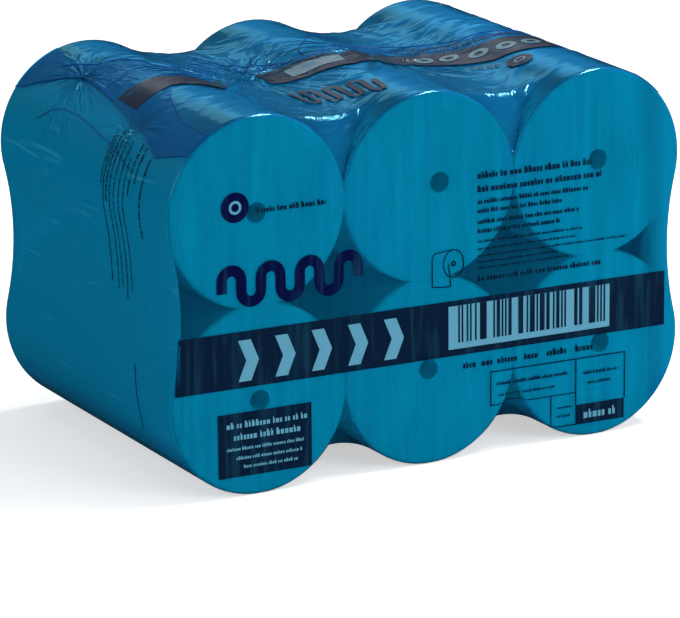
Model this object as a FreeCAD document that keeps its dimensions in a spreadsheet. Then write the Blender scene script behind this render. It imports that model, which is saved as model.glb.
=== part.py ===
import FreeCAD, Part
import Sketcher
import math
import os

# Film-wrapped pack of eighteen coreless paper rolls, in millimetres.
# X runs along the pack, Y from its front to its back, and Z up. The origin is
# under the middle of the pack, on the surface that it stands on.

doc = FreeCAD.newDocument("RollPack")
sheet = doc.addObject("Spreadsheet::Sheet", "Sizes")

SIZES = (
    ("roll_width", 98.0, "width of the paper, so the length of a roll"),
    ("roll_radius", 74.0, "outside radius of a roll"),
    ("hole_radius", 8.0, "radius of the winding hole"),
    ("rim_round", 2.5, "rounding of a roll's end rims"),
    ("tail_depth", 0.4, "step at the end of the outer turn"),
    ("tail_width", 1.6, "width of that step"),
    ("side_press", 0.5, "depth pressed flat where rolls of one row meet"),
    ("row_press", 2.2, "depth pressed flat between the two rows"),
    ("floor_press", 0.6, "depth pressed flat under the lower row"),
    ("roll_gap", 0.1, "clearance between neighbouring rolls"),
    ("film_clearance", 0.3, "clearance between the rolls and the film"),
    ("film_wall", 0.4, "wall that stands for the film"),
    ("film_layer", 0.4, "extra wall where the film lies double"),
    ("lobe_step", 0.3, "how far the film over a roll stands proud of its valleys' ends"),
    ("top_dip", 15.0, "depth of the valleys in the top"),
    ("base_dip", 21.5, "depth of the valleys underneath"),
    ("end_dip", 6.5, "depth of the valleys in the two ends"),
    ("notch_height", 57.0, "height of the slanting film between roll ends, top and base"),
    ("notch_depth", 19.0, "depth of that slant, from front to back"),
    ("end_notch_width", 50.0, "width of the slanting film at the pack's ends"),
    ("end_notch_depth", 12.0, "depth of that slant"),
    ("fold_wide", 47.0, "width of a front fold at the rim"),
    ("fold_narrow", 30.0, "width of a back fold at the rim"),
    ("fold_inset", 10.0, "from the pack's end to a front fold"),
    ("back_fold_inset", 14.0, "from the pack's end to a back fold"),
    ("front_fold_length", 124.0, "length of a front fold"),
    ("back_fold_length", 84.0, "length of a back fold"),
    ("fold_point_inset", 30.0, "from the pack's end to the folds' points"),
    ("lap_width", 40.0, "width of the lap seam on the top"),
    ("lap_offset", 80.0, "from the middle of the pack to the middle of the lap"),
    ("lap_end_inset", 36.0, "from the pack's end to the end of the lap"),
)

for line, (alias, number, note) in enumerate(SIZES, start=1):
    sheet.set("A%d" % line, alias)
    sheet.set("B%d" % line, str(number))
    sheet.set("C%d" % line, note)
    sheet.setAlias("B%d" % line, alias)
doc.recompute()

# Distances that follow from the sizes, as expressions
PITCH_X = "(2 * (Sizes.roll_radius - Sizes.side_press) + Sizes.roll_gap)"
PITCH_Y = "(Sizes.roll_width + Sizes.roll_gap)"
PITCH_Z = "(2 * (Sizes.roll_radius - Sizes.row_press) + Sizes.roll_gap)"
LOW_CENTRE = (
    "(Sizes.roll_radius - Sizes.floor_press + Sizes.film_clearance + Sizes.film_wall)"
)
HIGH_CENTRE = "(%s + %s)" % (LOW_CENTRE, PITCH_Z)
HALF_STACK = "(1.5 * Sizes.roll_width + Sizes.roll_gap)"
OUTER = "(Sizes.film_clearance + Sizes.film_wall)"
INNER = "Sizes.film_clearance"
DOUBLE = "(Sizes.film_clearance + Sizes.film_wall + Sizes.film_layer)"
MARGIN = "(Sizes.roll_radius)"

COLUMNS = (("left", -1), ("centre", 0), ("right", 1))
ROWS = (("bottom", 0), ("top", 1))
LAYERS = (("front", 0), ("middle", 1), ("back", 2))

# Where the winding hole of a roll in the front layer lies off its middle, in X and Z
FRONT_HOLES = {
    ("top", "left"): (-1.0, 0.0),
    ("top", "centre"): (8.0, 3.0),
    ("top", "right"): (1.0, 3.0),
    ("bottom", "left"): (0.0, -1.0),
    ("bottom", "centre"): (-2.0, 1.0),
    ("bottom", "right"): (4.0, 0.0),
}
HOLE_DRIFT = 3.0  # how far the other rolls' holes lie off their middles
TAIL_ANGLE = 45.0  # where the outer turn ends, clear of every pressed flat


def value(text):
    """The number that an expression gives."""
    result = sheet.evalExpression(text)
    return float(getattr(result, "Value", result))


def lock(sketch, point, across, up):
    """Holds a sketch point at two distances from the sketch's origin."""
    for kind, axis, text in (("DistanceX", -2, across), ("DistanceY", -1, up)):
        number = value(text)
        if abs(number) < 1e-9:
            sketch.addConstraint(Sketcher.Constraint("PointOnObject", point[0], point[1], axis))
        elif number > 0:
            index = sketch.addConstraint(
                Sketcher.Constraint(kind, -1, 1, point[0], point[1], number)
            )
            sketch.setExpression("Constraints[%d]" % index, text)
        else:
            index = sketch.addConstraint(
                Sketcher.Constraint(kind, point[0], point[1], -1, 1, -number)
            )
            sketch.setExpression("Constraints[%d]" % index, "-(%s)" % text)


def add_polygon(sketch, corners):
    """Draws a closed polygon through corners given as pairs of expressions."""
    places = [FreeCAD.Vector(value(across), value(up), 0) for across, up in corners]
    count = len(places)
    edges = [
        sketch.addGeometry(Part.LineSegment(places[i], places[(i + 1) % count]))
        for i in range(count)
    ]
    for i in range(count):
        following = edges[(i + 1) % count]
        sketch.addConstraint(Sketcher.Constraint("Coincident", edges[i], 2, following, 1))
        lock(sketch, (edges[i], 1), corners[i][0], corners[i][1])


def add_circle(sketch, across, up, radius):
    """Draws a circle whose centre and radius are expressions."""
    centre = FreeCAD.Vector(value(across), value(up), 0)
    circle = sketch.addGeometry(Part.Circle(centre, FreeCAD.Vector(0, 0, 1), value(radius)))
    lock(sketch, (circle, 3), across, up)
    index = sketch.addConstraint(Sketcher.Constraint("Radius", circle, value(radius)))
    sketch.setExpression("Constraints[%d]" % index, radius)


def plane_of(body, role):
    """One of a body's own origin planes."""
    for feature in body.Origin.OriginFeatures:
        if feature.Role == role:
            return feature
    raise ValueError("no plane " + role)


def body_sketch(body, name, role):
    """An empty sketch on one of a body's own origin planes."""
    sketch = body.newObject("Sketcher::SketchObject", name)
    sketch.AttachmentSupport = [(plane_of(body, role), "")]
    sketch.MapMode = "FlatFace"
    return sketch


def rounded_drum(name, radius, length, rim):
    """A body with a drum along Y that starts at its own XZ plane, its rims rounded."""
    body = doc.addObject("PartDesign::Body", name)
    circle = body_sketch(body, name + "_circle", "XZ_Plane")
    add_circle(circle, "0", "0", radius)
    drum = body.newObject("PartDesign::Pad", name + "_drum")
    drum.Profile = circle
    drum.Reversed = True
    drum.setExpression("Length", length)
    doc.recompute()
    rims = [
        "Edge%d" % number
        for number, edge in enumerate(drum.Shape.Edges, start=1)
        if edge.isClosed() and abs(edge.BoundBox.YLength) < 1e-6
    ]
    rounding = body.newObject("PartDesign::Fillet", name + "_rims")
    rounding.Base = (drum, rims)
    rounding.setExpression("Radius", rim)
    body.Tip = rounding
    return body


def pressed_flat(depth, side):
    """The strip that a pressed flat takes off a roll: side is left, right, below or above."""
    near = "(Sizes.roll_radius - %s)" % depth
    far = "(Sizes.roll_radius + %s)" % depth
    half = "(sqrt(2 * Sizes.roll_radius * %s) + %s)" % (depth, depth)
    if side == "right":
        return ((near, "-" + half), (far, "-" + half), (far, half), (near, half))
    if side == "left":
        return (("-" + far, "-" + half), ("-" + near, "-" + half), ("-" + near, half), ("-" + far, half))
    if side == "above":
        return (("-" + half, near), (half, near), (half, far), ("-" + half, far))
    return (("-" + half, "-" + far), (half, "-" + far), (half, "-" + near), ("-" + half, "-" + near))


def flats_of(row, column):
    """The flats of a roll at one place in the pack."""
    flats = []
    if column != "left":
        flats.append(("Sizes.side_press", "left"))
    if column != "right":
        flats.append(("Sizes.side_press", "right"))
    if row == "top":
        flats.append(("Sizes.row_press", "below"))
    else:
        flats.append(("Sizes.row_press", "above"))
        flats.append(("Sizes.floor_press", "below"))
    return flats


def hole_place(layer, row, column, index):
    """How far the winding hole lies off the middle of a roll, in X and Z."""
    if layer == "front":
        return FRONT_HOLES[(row, column)]
    turn = 2.4 * index
    return (HOLE_DRIFT * math.cos(turn), HOLE_DRIFT * math.sin(turn))


def tail_corners():
    """The small step that ends the outer turn of paper."""
    across = math.cos(math.radians(TAIL_ANGLE))
    up = math.sin(math.radians(TAIL_ANGLE))
    bottom = "(Sizes.roll_radius - Sizes.tail_depth)"
    outside = "(Sizes.roll_radius + Sizes.tail_width)"
    return (
        ("%s * %.6f" % (bottom, across), "%s * %.6f" % (bottom, up)),
        ("%s * %.6f + Sizes.tail_width * %.6f" % (outside, across, up),
         "%s * %.6f - Sizes.tail_width * %.6f" % (outside, up, across)),
        ("%s * %.6f" % (outside, across), "%s * %.6f" % (outside, up)),
    )


def make_roll(layer, row, column, index):
    """One coreless roll at its place in the pack."""
    name = "roll_%s_%s_%s" % (layer[0], row[0], column[0])
    body = rounded_drum(name, "Sizes.roll_radius", "Sizes.roll_width", "Sizes.rim_round")
    cuts = body_sketch(body, name + "_cuts", "XZ_Plane")
    across, up = hole_place(layer[0], row[0], column[0], index)
    add_circle(cuts, "%.4f" % across, "%.4f" % up, "Sizes.hole_radius")
    add_polygon(cuts, tail_corners())
    for depth, side in flats_of(row[0], column[0]):
        add_polygon(cuts, pressed_flat(depth, side))
    pocket = body.newObject("PartDesign::Pocket", name + "_pressed")
    pocket.Profile = cuts
    pocket.Type = "ThroughAll"
    body.Tip = pocket
    body.setExpression("Placement.Base.x", "%d * %s" % (column[1], PITCH_X))
    body.setExpression("Placement.Base.y", "%d * %s - %s" % (layer[1], PITCH_Y, HALF_STACK))
    body.setExpression("Placement.Base.z", "%s + %d * %s" % (LOW_CENTRE, row[1], PITCH_Z))
    body.Label = name
    return body


def flat_sketch(name, view):
    """A sketch of its own: front looks along Y, side along X and plan down on the pack."""
    sketch = doc.addObject("Sketcher::SketchObject", name)
    turns = {
        "front": FreeCAD.Rotation(FreeCAD.Vector(1, 0, 0), 90),
        "side": FreeCAD.Rotation(FreeCAD.Vector(1, 1, 1), 120),
        "plan": FreeCAD.Rotation(),
    }
    sketch.Placement = FreeCAD.Placement(FreeCAD.Vector(0, 0, 0), turns[view])
    return sketch


def prism(name, sketch, direction, forward, backward):
    """A solid from a sketch, drawn out both ways along a direction."""
    solid = doc.addObject("Part::Extrusion", name)
    solid.Base = sketch
    solid.DirMode = "Custom"
    solid.Dir = FreeCAD.Vector(direction)
    solid.Solid = True
    solid.setExpression("LengthFwd", forward)
    solid.setExpression("LengthRev", backward)
    return solid


def lobed_outline(name, grow):
    """The film's outline seen from the front: an arc over each outer roll and an arc
    that sags between each two, tangent to both."""
    sketch = flat_sketch(name, "front")
    lobe_radius = "(Sizes.roll_radius + %s - Sizes.lobe_step)" % grow
    centres = [("%d * %s" % (step, PITCH_X), HIGH_CENTRE) for step in (-1, 0, 1)]
    centres += [("%d * %s" % (step, PITCH_X), LOW_CENTRE) for step in (1, 0, -1)]
    dips = ["Sizes.top_dip"] * 2 + ["Sizes.end_dip"] + ["Sizes.base_dip"] * 2 + ["Sizes.end_dip"]
    pitches = [PITCH_X] * 2 + [PITCH_Z] + [PITCH_X] * 2 + [PITCH_Z]
    count = len(centres)
    points = [FreeCAD.Vector(value(across), value(up), 0) for across, up in centres]
    radius = value(lobe_radius)
    valleys = []
    for i in range(count):
        first, second = points[i], points[(i + 1) % count]
        along = second - first
        half = along.Length / 2
        along.normalize()
        outward = FreeCAD.Vector(-along.y, along.x, 0)
        drop = "(%s - Sizes.lobe_step)" % dips[i]
        reach = "((%s / 2)^2 + %s^2) / (2 * %s)" % (pitches[i], drop, drop)
        sag_radius = "(%s - %s)" % (reach, lobe_radius)
        height = value(reach) - value(drop)
        middle = first + along * half + outward * height
        valleys.append((middle, sag_radius))
    upward = FreeCAD.Vector(0, 0, 1)
    lobes = []
    sags = []
    for i in range(count):
        before = valleys[i - 1][0] - points[i]
        after = valleys[i][0] - points[i]
        start = math.atan2(after.y, after.x)
        end = math.atan2(before.y, before.x)
        circle = Part.Circle(points[i], upward, radius)
        lobes.append(sketch.addGeometry(Part.ArcOfCircle(circle, start, end)))
    for i in range(count):
        middle, sag_radius = valleys[i]
        to_first = points[i] - middle
        to_second = points[(i + 1) % count] - middle
        start = math.atan2(to_first.y, to_first.x)
        end = math.atan2(to_second.y, to_second.x)
        circle = Part.Circle(middle, upward, value(sag_radius))
        sags.append(sketch.addGeometry(Part.ArcOfCircle(circle, start, end)))
    for i in range(count):
        lock(sketch, (lobes[i], 3), centres[i][0], centres[i][1])
        index = sketch.addConstraint(Sketcher.Constraint("Radius", lobes[i], radius))
        sketch.setExpression("Constraints[%d]" % index, lobe_radius)
        index = sketch.addConstraint(Sketcher.Constraint("Radius", sags[i], value(valleys[i][1])))
        sketch.setExpression("Constraints[%d]" % index, valleys[i][1])
        following = lobes[(i + 1) % count]
        sketch.addConstraint(Sketcher.Constraint("Tangent", sags[i], 1, lobes[i], 1))
        sketch.addConstraint(Sketcher.Constraint("Tangent", sags[i], 2, following, 2))
    return sketch


def envelope(name, grow, floor):
    """The closed form of the film, grown by a distance over the rolls that it holds."""
    depth = "(%s + %s)" % (HALF_STACK, grow)
    reach = "(%s + Sizes.roll_radius + %s)" % (PITCH_X, grow)
    crest = "(%s + Sizes.roll_radius + %s)" % (HIGH_CENTRE, grow)
    trough = "(%s - Sizes.roll_radius - %s)" % (LOW_CENTRE, grow)
    outline = lobed_outline(name + "_outline", grow)
    sleeve = prism(name + "_sleeve", outline, (0, 1, 0), depth, depth)

    side = flat_sketch(name + "_side", "side")
    inner = "(%s - Sizes.notch_depth)" % depth
    add_polygon(side, (
        ("-" + inner, trough), (inner, trough),
        (depth, trough + " + Sizes.notch_height"), (depth, crest + " - Sizes.notch_height"),
        (inner, crest), ("-" + inner, crest),
        ("-" + depth, crest + " - Sizes.notch_height"), ("-" + depth, trough + " + Sizes.notch_height"),
    ))
    side_form = prism(name + "_side_form", side, (1, 0, 0), reach, reach)

    plan = flat_sketch(name + "_plan", "plan")
    shoulder = "(%s - Sizes.end_notch_width)" % reach
    inside = "(%s - Sizes.end_notch_depth)" % depth
    add_polygon(plan, (
        ("-" + shoulder, "-" + depth), (shoulder, "-" + depth),
        (reach, "-" + inside), (reach, inside),
        (shoulder, depth), ("-" + shoulder, depth),
        ("-" + reach, inside), ("-" + reach, "-" + inside),
    ))
    plan_form = prism(name + "_plan_form", plan, (0, 0, 1), crest, MARGIN)

    core = doc.addObject("Part::MultiCommon", name + "_core")
    core.Shapes = [sleeve, side_form, plan_form]

    lobes = []
    for row, rise in ROWS:
        for column, step in COLUMNS:
            lobe = rounded_drum(
                "%s_lobe_%s_%s" % (name, row, column),
                "(Sizes.roll_radius + %s)" % grow,
                "2 * %s" % depth,
                "(Sizes.rim_round + %s)" % grow,
            )
            lobe.setExpression("Placement.Base.x", "%d * %s" % (step, PITCH_X))
            lobe.setExpression("Placement.Base.y", "-" + depth)
            lobe.setExpression("Placement.Base.z", "%s + %d * %s" % (LOW_CENTRE, rise, PITCH_Z))
            lobes.append(lobe)
    whole = doc.addObject("Part::MultiFuse", name + "_whole")
    whole.Shapes = [core] + lobes
    whole.Refine = True

    under = doc.addObject("Part::Box", name + "_under")
    under.setExpression("Length", "2 * %s + 2 * %s" % (reach, MARGIN))
    under.setExpression("Width", "2 * %s + 2 * %s" % (depth, MARGIN))
    under.setExpression("Height", MARGIN)
    under.setExpression("Placement.Base.x", "-%s - %s" % (reach, MARGIN))
    under.setExpression("Placement.Base.y", "-%s - %s" % (depth, MARGIN))
    under.setExpression("Placement.Base.z", "%s - %s" % (floor, MARGIN))
    form = doc.addObject("Part::Cut", name)
    form.Base = whole
    form.Tool = under
    return form


def doubled_film():
    """Prisms over the places where the film lies double: a folded triangle at the front
    and back of each end, and the lap seam along the top."""
    reach = "(%s + Sizes.roll_radius + %s)" % (PITCH_X, OUTER)
    rim = "(%s - Sizes.rim_round)" % HALF_STACK
    crest = "(%s + Sizes.roll_radius + %s)" % (HIGH_CENTRE, DOUBLE)
    prisms = []
    for end, sign in (("left", "-"), ("right", "")):
        point = "%s(%s - Sizes.fold_point_inset)" % (sign, reach)
        front_out = "%s(%s - Sizes.fold_inset)" % (sign, reach)
        front_in = "%s(%s - Sizes.fold_inset - Sizes.fold_wide)" % (sign, reach)
        back_out = "%s(%s - Sizes.back_fold_inset)" % (sign, reach)
        back_in = "%s(%s - Sizes.back_fold_inset - Sizes.fold_narrow)" % (sign, reach)
        folds = (
            ("front", ((front_out, "-" + rim), (front_in, "-" + rim),
                       (point, "-%s + Sizes.front_fold_length" % rim))),
            ("back", ((back_out, rim), (back_in, rim),
                      (point, "%s - Sizes.back_fold_length" % rim))),
        )
        for place, corners in folds:
            sketch = flat_sketch("fold_%s_%s" % (place, end), "plan")
            add_polygon(sketch, corners)
            prisms.append(prism("fold_%s_%s_form" % (place, end), sketch, (0, 0, 1), crest, MARGIN))
    lap = flat_sketch("lap_seam", "plan")
    far = "(%s - Sizes.lap_end_inset)" % reach
    near_edge = "(Sizes.lap_offset - Sizes.lap_width / 2)"
    far_edge = "(Sizes.lap_offset + Sizes.lap_width / 2)"
    add_polygon(lap, (("-" + far, near_edge), (far, near_edge), (far, far_edge), ("-" + far, far_edge)))
    lap_form = prism("lap_seam_form", lap, (0, 0, 1), crest, "0")
    lap_form.setExpression("LengthRev", "-" + HIGH_CENTRE)
    prisms.append(lap_form)
    return prisms


def make_film():
    """The film that wraps the rolls, closed all round."""
    outer = envelope("film_outer", OUTER, "0")
    inner = envelope("film_inner", INNER, "Sizes.film_wall")
    double = envelope("film_double", DOUBLE, "0")
    layers = doc.addObject("Part::MultiFuse", "film_layers")
    layers.Shapes = doubled_film()
    raised = doc.addObject("Part::Common", "film_raised")
    raised.Base = double
    raised.Tool = layers
    solid = doc.addObject("Part::Fuse", "film_solid")
    solid.Base = outer
    solid.Tool = raised
    film = doc.addObject("Part::Cut", "film_wrap")
    film.Base = solid
    film.Tool = inner
    film.Label = "film_wrap"
    return film


parts = []
for layer in LAYERS:
    for row in ROWS:
        for column in COLUMNS:
            parts.append(make_roll(layer, row, column, len(parts)))
parts.append(make_film())
doc.recompute()

for item in doc.Objects:
    if "Invalid" in item.State or "Error" in item.State:
        raise RuntimeError("%s failed: %s" % (item.Name, item.State))
for body in parts:
    if body.Shape.isNull() or not body.Shape.isValid():
        raise RuntimeError("%s has no valid shape" % body.Label)
for item in doc.Objects:
    if item.TypeId == "PartDesign::Pocket":
        if item.Shape.Volume >= item.BaseFeature.Shape.Volume:
            raise RuntimeError("%s cuts nothing" % item.Name)

os.makedirs("parts", exist_ok=True)
for body in parts:
    body.Shape.exportStep("parts/%s.step" % body.Label)
    print("%-28s solids %d faces %3d volume %.0f" % (
        body.Label, len(body.Shape.Solids), len(body.Shape.Faces), body.Shape.Volume))
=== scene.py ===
import bpy
import math
import numpy as np
from mathutils import Matrix, Vector


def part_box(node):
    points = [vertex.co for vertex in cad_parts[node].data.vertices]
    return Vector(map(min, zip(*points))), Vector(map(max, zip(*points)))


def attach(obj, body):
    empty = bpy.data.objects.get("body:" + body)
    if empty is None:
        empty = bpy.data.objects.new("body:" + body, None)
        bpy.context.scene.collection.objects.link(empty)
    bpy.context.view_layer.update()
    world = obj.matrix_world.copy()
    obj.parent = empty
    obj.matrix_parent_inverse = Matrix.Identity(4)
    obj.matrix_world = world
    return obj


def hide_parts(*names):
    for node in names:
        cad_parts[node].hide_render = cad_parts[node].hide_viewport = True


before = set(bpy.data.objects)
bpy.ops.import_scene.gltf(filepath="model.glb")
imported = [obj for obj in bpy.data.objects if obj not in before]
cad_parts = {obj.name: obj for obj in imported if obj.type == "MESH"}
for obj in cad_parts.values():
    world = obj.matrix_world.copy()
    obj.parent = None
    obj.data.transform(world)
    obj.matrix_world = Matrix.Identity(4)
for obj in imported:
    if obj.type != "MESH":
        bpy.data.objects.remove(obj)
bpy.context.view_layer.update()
scene = bpy.context.scene


def hexColour(code, alpha=1.0):
    # sRGB hex to the linear colour that a shader wants
    parts = [int(code[i:i + 2], 16) / 255 for i in (1, 3, 5)]
    linear = [p / 12.92 if p <= 0.04045 else ((p + 0.055) / 1.055) ** 2.4 for p in parts]
    return (*linear, alpha)


def addNode(tree, kind, links=None, **settings):
    # one shader node: settings are its properties, links its inputs by name or number, each given
    # a plain value, a socket, or a node whose first output is meant
    node = tree.nodes.new("ShaderNode" + kind)
    for key, what in settings.items():
        setattr(node, key, what)
    for key, what in (links or {}).items():
        if isinstance(what, bpy.types.Node):
            what = what.outputs[0]
        if isinstance(what, bpy.types.NodeSocket):
            tree.links.new(what, node.inputs[key])
        else:
            node.inputs[key].default_value = what
    return node


def newMaterial(name):
    made = bpy.data.materials.new(name)
    made.use_nodes = True
    made.node_tree.nodes.clear()
    return made, made.node_tree


def setMode(mode):
    bpy.ops.object.mode_set(mode=mode)


def pickOnly(piece):
    bpy.ops.object.select_all(action='DESELECT')
    piece.select_set(True)
    bpy.context.view_layer.objects.active = piece


def readPoints(mesh):
    flat = np.empty(len(mesh.vertices) * 3)
    mesh.vertices.foreach_get("co", flat)
    return flat.reshape(-1, 3)


def writePoints(mesh, points):
    mesh.vertices.foreach_set("co", points.astype(np.float32).ravel())
    mesh.update()


# Where the rolls lie, read back from the frame
rollStack = {
    "radius": 0.074,
}
topLeftLow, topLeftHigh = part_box("roll_front_top_left")
bottomLeftLow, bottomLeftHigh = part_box("roll_front_bottom_left")
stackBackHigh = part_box("roll_back_top_left")[1]
rollRadius = rollStack["radius"]
pitchX = -topLeftLow.x - rollRadius
highCentre = topLeftHigh.z - rollRadius
lowCentre = topLeftLow.z + bottomLeftHigh.z - highCentre
halfDepth = stackBackHigh.y
rollCentres = [(x, z) for z in (lowCentre, highCentre) for x in (-pitchX, 0.0, pitchX)]
print("stack: pitch", round(pitchX, 4), "centres at", round(lowCentre, 4), round(highCentre, 4))

# The camera stands where the photograph was taken from
cameraView = {
    "azimuth": -28.46,
    "elevation": 15.90,
    "roll": -0.54,
    "distance": 3.606,
    "lens": 242.0,
    "target": (0.0014, 0.0, 0.0862),
}


def setCamera(values):
    turn, lift = math.radians(values["azimuth"]), math.radians(values["elevation"])
    back = Vector((math.sin(turn) * math.cos(lift), -math.cos(turn) * math.cos(lift), math.sin(lift)))
    right = (-back).cross(Vector((0, 0, 1))).normalized()
    up = right.cross(-back)
    tilt = math.radians(values["roll"])
    tiltedRight = math.cos(tilt) * right + math.sin(tilt) * up
    tiltedUp = -math.sin(tilt) * right + math.cos(tilt) * up
    bpy.ops.object.camera_add(location=Vector(values["target"]) + back * values["distance"])
    camera = bpy.context.object
    camera.data.lens = values["lens"]
    camera.data.sensor_width = 36.0
    camera.data.clip_end = 20.0
    camera.rotation_euler = Matrix((tiltedRight, tiltedUp, back)).transposed().to_euler()
    scene.camera = camera


setCamera(cameraView)
print("camera set")

# Soft studio: a long strip above, a wide lamp in front, a low one behind, and one lamp that only
# shows in the film's shine
studio = {
    "lamps": (
        # name, place, aim, width, height, watts, whether it lights and whether it shows in shine
        ("lampStrip", (0.9, -0.1, 2.1), (0.0, 0.0, 0.2), 1.9, 0.14, 36.0, True, True),
        ("lampFront", (0.9, -2.6, 1.3), (0.0, 0.0, 0.15), 1.7, 1.7, 31.0, True, False),
        ("lampBehind", (1.7, 3.1, 2.0), (0.0, 0.0, 0.25), 2.4, 0.7, 5.0, True, True),
        ("lampSide", (-2.6, -0.6, 1.2), (0.0, 0.0, 0.15), 1.2, 1.2, 12.0, True, True),
        ("lampShine", (1.0, -0.35, 2.15), (0.0, 0.0, 0.2), 1.5, 0.30, 95.0, False, True),
    ),
    "ambient": 0.25,
    "roomLow": 0.02,
    "roomHigh": 0.26,
    "floorHex": "#f4f4f4",
    "floorGlow": 0.55,
    "floorSize": 8.0,
    "floorDrop": 0.0004,
}


def setStudio(values):
    for name, place, aim, width, height, power, lights, shines in values["lamps"]:
        bpy.ops.object.light_add(type='AREA', location=place)
        lamp = bpy.context.object
        lamp.name = name
        lamp.data.shape = 'RECTANGLE'
        lamp.data.size = width
        lamp.data.size_y = height
        lamp.data.energy = power
        lamp.rotation_euler = (Vector(place) - Vector(aim)).to_track_quat('Z', 'Y').to_euler()
        lamp.visible_diffuse = lights
        lamp.visible_glossy = shines
    world = bpy.data.worlds.new("studioWorld")
    scene.world = world
    world.use_nodes = True
    tree = world.node_tree
    tree.nodes.clear()
    path = addNode(tree, "LightPath")
    seen = addNode(tree, "Math", {
        0: path.outputs["Is Camera Ray"], 1: path.outputs["Is Transmission Ray"]}, operation='MAXIMUM')
    seen = addNode(tree, "Math", {0: seen, 1: path.outputs["Is Glossy Ray"]}, operation='MAXIMUM')
    way = addNode(tree, "TexCoord")
    height = addNode(tree, "SeparateXYZ", {0: way.outputs["Generated"]})
    room = addNode(tree, "MapRange", {
        "Value": height.outputs["Z"], "From Min": 0.0, "From Max": 0.4, "To Min": values["roomLow"],
        "To Max": values["roomHigh"]})
    soft = addNode(tree, "Background", {"Color": (1, 1, 1, 1), "Strength": values["ambient"]})
    room = addNode(tree, "Math", {0: room, 1: path.outputs["Is Camera Ray"]}, operation='MAXIMUM')
    white = addNode(tree, "Background", {"Color": (1, 1, 1, 1), "Strength": room})
    both = addNode(tree, "MixShader", {0: seen, 1: soft, 2: white})
    addNode(tree, "OutputWorld", {"Surface": both})


setStudio(studio)


def makeFloor(values):
    # pale paper sweep: the camera sees it lit up to white, and it keeps the pack's shadow
    bpy.ops.mesh.primitive_plane_add(size=values["floorSize"], location=(0, 0, -values["floorDrop"]))
    floor = bpy.context.object
    floor.name = "studioFloor"
    material, tree = newMaterial("studioPaper")
    path = addNode(tree, "LightPath")
    glow = addNode(tree, "Math", {
        0: path.outputs["Is Camera Ray"], 1: values["floorGlow"]}, operation='MULTIPLY')
    base = addNode(tree, "BsdfPrincipled", {
        "Base Color": hexColour(values["floorHex"]), "Roughness": 0.9, "Specular IOR Level": 0.1,
        "Emission Color": (1, 1, 1, 1), "Emission Strength": glow})
    addNode(tree, "OutputMaterial", {"Surface": base})
    floor.data.materials.append(material)
    floor.visible_glossy = False


makeFloor(studio)
print("studio set")

# Tissue paper: soft, matt and white, with the wound turns showing as fine rings on the ends
paper = {
    "hex": "#f6f4f1",
    "turnHex": "#e6e3dd",
    "turnSpacing": 0.0024,
    "roughness": 0.95,
}


def tissuePaper(values):
    material, tree = newMaterial("tissuePaperWound")
    place = addNode(tree, "TexCoord").outputs["Object"]
    place = addNode(tree, "SeparateXYZ", {0: place})
    # how far each point is from the middle of its own roll
    across = addNode(tree, "Math", {0: place.outputs["X"], 1: pitchX}, operation='DIVIDE')
    column = addNode(tree, "Math", {0: across}, operation='ROUND')
    across = addNode(tree, "Math", {0: across, 1: column}, operation='SUBTRACT')
    across = addNode(tree, "Math", {0: across, 1: pitchX}, operation='MULTIPLY')
    upper = addNode(tree, "Math", {
        0: place.outputs["Z"], 1: (lowCentre + highCentre) / 2}, operation='GREATER_THAN')
    middle = addNode(tree, "MapRange", {"Value": upper, "To Min": lowCentre, "To Max": highCentre})
    up = addNode(tree, "Math", {0: place.outputs["Z"], 1: middle}, operation='SUBTRACT')
    spot = addNode(tree, "CombineXYZ", {0: across, 1: up})
    reach = addNode(tree, "VectorMath", {0: spot}, operation='LENGTH')
    turn = addNode(tree, "Math", {
        0: reach.outputs["Value"], 1: values["turnSpacing"]}, operation='DIVIDE')
    ring = addNode(tree, "TexNoise", {"W": turn, "Scale": 1.0, "Detail": 1.0}, noise_dimensions='1D')
    colour = addNode(tree, "Mix", {
        0: ring.outputs["Fac"], 6: hexColour(values["hex"]), 7: hexColour(values["turnHex"])
    }, data_type='RGBA')
    base = addNode(tree, "BsdfPrincipled", {
        "Base Color": colour.outputs[2], "Roughness": values["roughness"], "Specular IOR Level": 0.2})
    addNode(tree, "OutputMaterial", {"Surface": base})
    return material


paperMaterial = tissuePaper(paper)
for nodeName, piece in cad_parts.items():
    if nodeName.startswith("roll_"):
        piece.data.materials.clear()
        piece.data.materials.append(paperMaterial)

# The film: blue polyethylene, drawn tight over the rolls, in metres
film = {
    "clearance": 0.0006,
    "rimRound": 0.0031,
    "topDip": 0.0150,        # how far the film sinks between two rolls, from their tops
    "baseDip": 0.0215,
    "endDip": 0.0065,
    "topNotch": 0.0570,      # the same at the pack's front and back, where it is tucked in
    "baseNotch": 0.0450,
    "endNotch": 0.0085,
    "notchDepth": 0.0190,
    "topSpacing": 0.0024,
    "spacing": 0.0033,
    "rimRows": 7,
    "notchRows": 9,
    "rowSpacing": 0.0027,
    "insets": (0.0012, 0.0040),
}


def bridge(reach, radius, dip):
    # radius and centre height of the round valley between two rolls that stand apart by twice reach
    valley = (reach ** 2 + (radius - dip) ** 2 - radius ** 2) / (2 * dip)
    return valley, radius - dip + valley


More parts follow.
